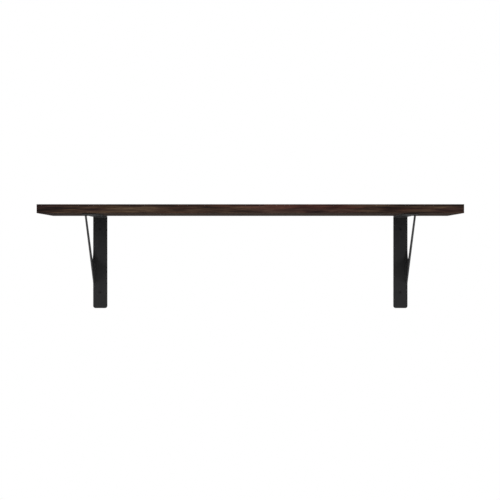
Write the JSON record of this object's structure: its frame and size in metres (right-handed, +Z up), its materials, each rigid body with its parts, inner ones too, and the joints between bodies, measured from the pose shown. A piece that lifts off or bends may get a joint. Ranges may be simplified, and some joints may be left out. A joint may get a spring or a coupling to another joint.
{
  "type": "wall shelf with brackets",
  "caption": "Dark wood wall shelf: a long veneered board on black steel L brackets, each with one diagonal stay along its outer edge, screwed to the wall and board.",
  "frame": {"origin": "centre of the rectangle of the wall screws, in the plane of the wall's surface", "axes": "+X along the shelf to the right as seen from the room, +Y straight into the wall, +Z up"},
  "size_m": [1.2, 0.3471, 0.305],
  "materials": {
    "dark_wood": "dark espresso stain under a thin satin lacquer, grain along the length",
    "particleboard": "pressed wood chips, seen only where a screw enters",
    "black_steel": "black powder coat, fine texture, semi-matte",
    "black_screw": "black zinc, slightly shiny"
  },
  "bodies": {
    "root": {"board_core": "particleboard", "top_veneer": "dark_wood", "bottom_veneer": "dark_wood", "front_edge_band": "dark_wood", "back_edge_band": "dark_wood", "left_edge_band": "dark_wood", "right_edge_band": "dark_wood", "left_bracket_strip": "black_steel", "right_bracket_strip": "black_steel", "left_stay": "black_steel", "right_stay": "black_steel", "left_wall_weld": "black_steel", "left_arm_weld": "black_steel", "right_wall_weld": "black_steel", "right_arm_weld": "black_steel", "left_upper_wall_screw": "black_screw", "left_lower_wall_screw": "black_screw", "right_upper_wall_screw": "black_screw", "right_lower_wall_screw": "black_screw", "left_front_shelf_screw": "black_screw", "left_back_shelf_screw": "black_screw", "right_front_shelf_screw": "black_screw", "right_back_shelf_screw": "black_screw"}
  },
  "joints": []
}
